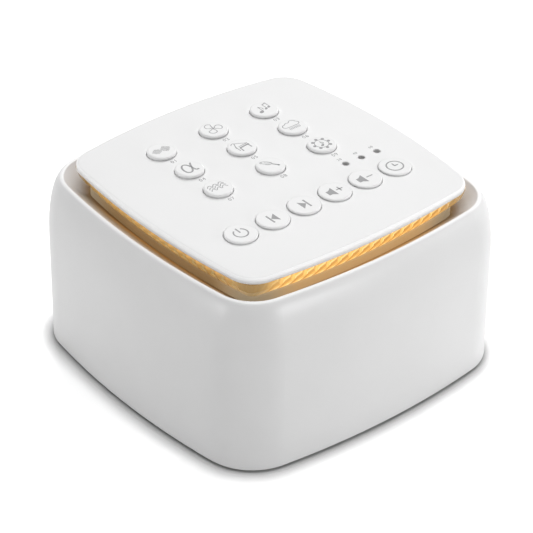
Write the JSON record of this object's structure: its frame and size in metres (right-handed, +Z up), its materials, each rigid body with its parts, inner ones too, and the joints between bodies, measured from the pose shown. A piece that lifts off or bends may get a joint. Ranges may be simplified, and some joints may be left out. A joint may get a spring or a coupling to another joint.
{
  "type": "white noise sound machine",
  "caption": "Rounded-square white noise machine: crowned key plate over a glowing prism ring, funnel rim, push keys, rear sockets and a speaker firing down.",
  "frame": {"origin": "middle of the base, on the surface that the feet stand on", "axes": "+Z up, -Y to the front, the side with the control keys, +X to the right seen from the front"},
  "size_m": [0.104, 0.104, 0.0601],
  "materials": {
    "housing_plastic": "white moulded ABS, satin",
    "plate_plastic": "white moulded ABS, satin",
    "key_plastic": "white moulded ABS, satin, printed in grey",
    "foot_rubber": "grey rubber, matte",
    "screw_steel": "zinc-plated steel",
    "frame_plastic": "white moulded plastic",
    "strip_film": "white film",
    "light_chip": "yellow encapsulated light",
    "diffuser_plastic": "frosted plastic, lit warm",
    "prism_plastic": "clear plastic, lit warm",
    "pipe_plastic": "smoked clear plastic",
    "board_laminate": "green solder mask",
    "switch_plastic": "black plastic",
    "stem_plastic": "natural plastic",
    "socket_plastic": "black plastic",
    "inlet_steel": "plated steel skin",
    "basket_paint": "black paint",
    "magnet_ferrite": "grey ferrite",
    "yoke_steel": "zinc-plated steel",
    "cone_paper": "black pressed paper",
    "coil_wire": "lacquered wire",
    "surround_rubber": "black rubber",
    "spider_cloth": "impregnated cloth",
    "ribbon_plastic": "grey ribbon",
    "lead_plastic": "red sleeve"
  },
  "bodies": {
    "housing": {"outer_shell": "housing_plastic", "base_cover": "housing_plastic", "rubber_feet": "foot_rubber", "base_screws": "screw_steel", "top_plate": "plate_plastic", "plate_screws": "screw_steel", "inner_frame": "frame_plastic", "light_strip": "strip_film", "ring_leds": "light_chip", "diffuser_band": "diffuser_plastic", "prism_ring": "prism_plastic", "key_board": "board_laminate", "switch_bases": "switch_plastic", "indicator_leds": "light_chip", "indicator_pipes": "pipe_plastic", "main_board": "board_laminate", "small_screws": "screw_steel", "headphone_jack": "socket_plastic", "power_inlet": "inlet_steel", "card_socket": "inlet_steel", "speaker_basket": "basket_paint", "speaker_magnet": "magnet_ferrite", "speaker_yoke": "yoke_steel", "speaker_surround": "surround_rubber", "speaker_spider": "spider_cloth", "ribbon_cable": "ribbon_plastic", "speaker_leads": "lead_plastic"},
    "cone": {"speaker_cone": "cone_paper", "voice_coil": "coil_wire", "dust_cap": "cone_paper"},
    "button_white_noise": {"key_white_noise": "key_plastic", "stem_white_noise": "stem_plastic"},
    "button_fan": {"key_fan": "key_plastic", "stem_fan": "stem_plastic"},
    "button_lullaby": {"key_lullaby": "key_plastic", "stem_lullaby": "stem_plastic"},
    "button_deep_tone": {"key_deep_tone": "key_plastic", "stem_deep_tone": "stem_plastic"},
    "button_piano": {"key_piano": "key_plastic", "stem_piano": "stem_plastic"},
    "button_rain": {"key_rain": "key_plastic", "stem_rain": "stem_plastic"},
    "button_waves": {"key_waves": "key_plastic", "stem_waves": "stem_plastic"},
    "button_birds": {"key_birds": "key_plastic", "stem_birds": "stem_plastic"},
    "button_own_sound": {"key_own_sound": "key_plastic", "stem_own_sound": "stem_plastic"},
    "button_power": {"key_power": "key_plastic", "stem_power": "stem_plastic"},
    "button_previous": {"key_previous": "key_plastic", "stem_previous": "stem_plastic"},
    "button_next": {"key_next": "key_plastic", "stem_next": "stem_plastic"},
    "button_volume_up": {"key_volume_up": "key_plastic", "stem_volume_up": "stem_plastic"},
    "button_volume_down": {"key_volume_down": "key_plastic", "stem_volume_down": "stem_plastic"},
    "button_timer": {"key_timer": "key_plastic", "stem_timer": "stem_plastic"}
  },
  "joints": [
    {"name": "cone_slide", "type": "slide", "parent": "housing", "child": "cone", "axis": [0, 0, 1], "range_m": [-0.0008, 0.0008], "stiffness_N_per_m": 1500, "deforming": ["speaker_surround", "speaker_spider"]},
    {"name": "white_noise_press", "type": "slide", "parent": "housing", "child": "button_white_noise", "axis": [0, 0, -1], "range_m": [0, 0.00035], "stiffness_N_per_m": 2000, "springref_m": -0.0005},
    {"name": "fan_press", "type": "slide", "parent": "housing", "child": "button_fan", "axis": [0, 0, -1], "range_m": [0, 0.00035], "stiffness_N_per_m": 2000, "springref_m": -0.0005},
    {"name": "lullaby_press", "type": "slide", "parent": "housing", "child": "button_lullaby", "axis": [0, 0, -1], "range_m": [0, 0.00035], "stiffness_N_per_m": 2000, "springref_m": -0.0005},
    {"name": "deep_tone_press", "type": "slide", "parent": "housing", "child": "button_deep_tone", "axis": [0, 0, -1], "range_m": [0, 0.00035], "stiffness_N_per_m": 2000, "springref_m": -0.0005},
    {"name": "piano_press", "type": "slide", "parent": "housing", "child": "button_piano", "axis": [0, 0, -1], "range_m": [0, 0.00035], "stiffness_N_per_m": 2000, "springref_m": -0.0005},
    {"name": "rain_press", "type": "slide", "parent": "housing", "child": "button_rain", "axis": [0, 0, -1], "range_m": [0, 0.00035], "stiffness_N_per_m": 2000, "springref_m": -0.0005},
    {"name": "waves_press", "type": "slide", "parent": "housing", "child": "button_waves", "axis": [0, 0, -1], "range_m": [0, 0.00035], "stiffness_N_per_m": 2000, "springref_m": -0.0005},
    {"name": "birds_press", "type": "slide", "parent": "housing", "child": "button_birds", "axis": [0, 0, -1], "range_m": [0, 0.00035], "stiffness_N_per_m": 2000, "springref_m": -0.0005},
    {"name": "own_sound_press", "type": "slide", "parent": "housing", "child": "button_own_sound", "axis": [0, 0, -1], "range_m": [0, 0.00035], "stiffness_N_per_m": 2000, "springref_m": -0.0005},
    {"name": "power_press", "type": "slide", "parent": "housing", "child": "button_power", "axis": [0, 0, -1], "range_m": [0, 0.00035], "stiffness_N_per_m": 2000, "springref_m": -0.0005},
    {"name": "previous_press", "type": "slide", "parent": "housing", "child": "button_previous", "axis": [0, 0, -1], "range_m": [0, 0.00035], "stiffness_N_per_m": 2000, "springref_m": -0.0005},
    {"name": "next_press", "type": "slide", "parent": "housing", "child": "button_next", "axis": [0, 0, -1], "range_m": [0, 0.00035], "stiffness_N_per_m": 2000, "springref_m": -0.0005},
    {"name": "volume_up_press", "type": "slide", "parent": "housing", "child": "button_volume_up", "axis": [0, 0, -1], "range_m": [0, 0.00035], "stiffness_N_per_m": 2000, "springref_m": -0.0005},
    {"name": "volume_down_press", "type": "slide", "parent": "housing", "child": "button_volume_down", "axis": [0, 0, -1], "range_m": [0, 0.00035], "stiffness_N_per_m": 2000, "springref_m": -0.0005},
    {"name": "timer_press", "type": "slide", "parent": "housing", "child": "button_timer", "axis": [0, 0, -1], "range_m": [0, 0.00035], "stiffness_N_per_m": 2000, "springref_m": -0.0005}
  ]
}
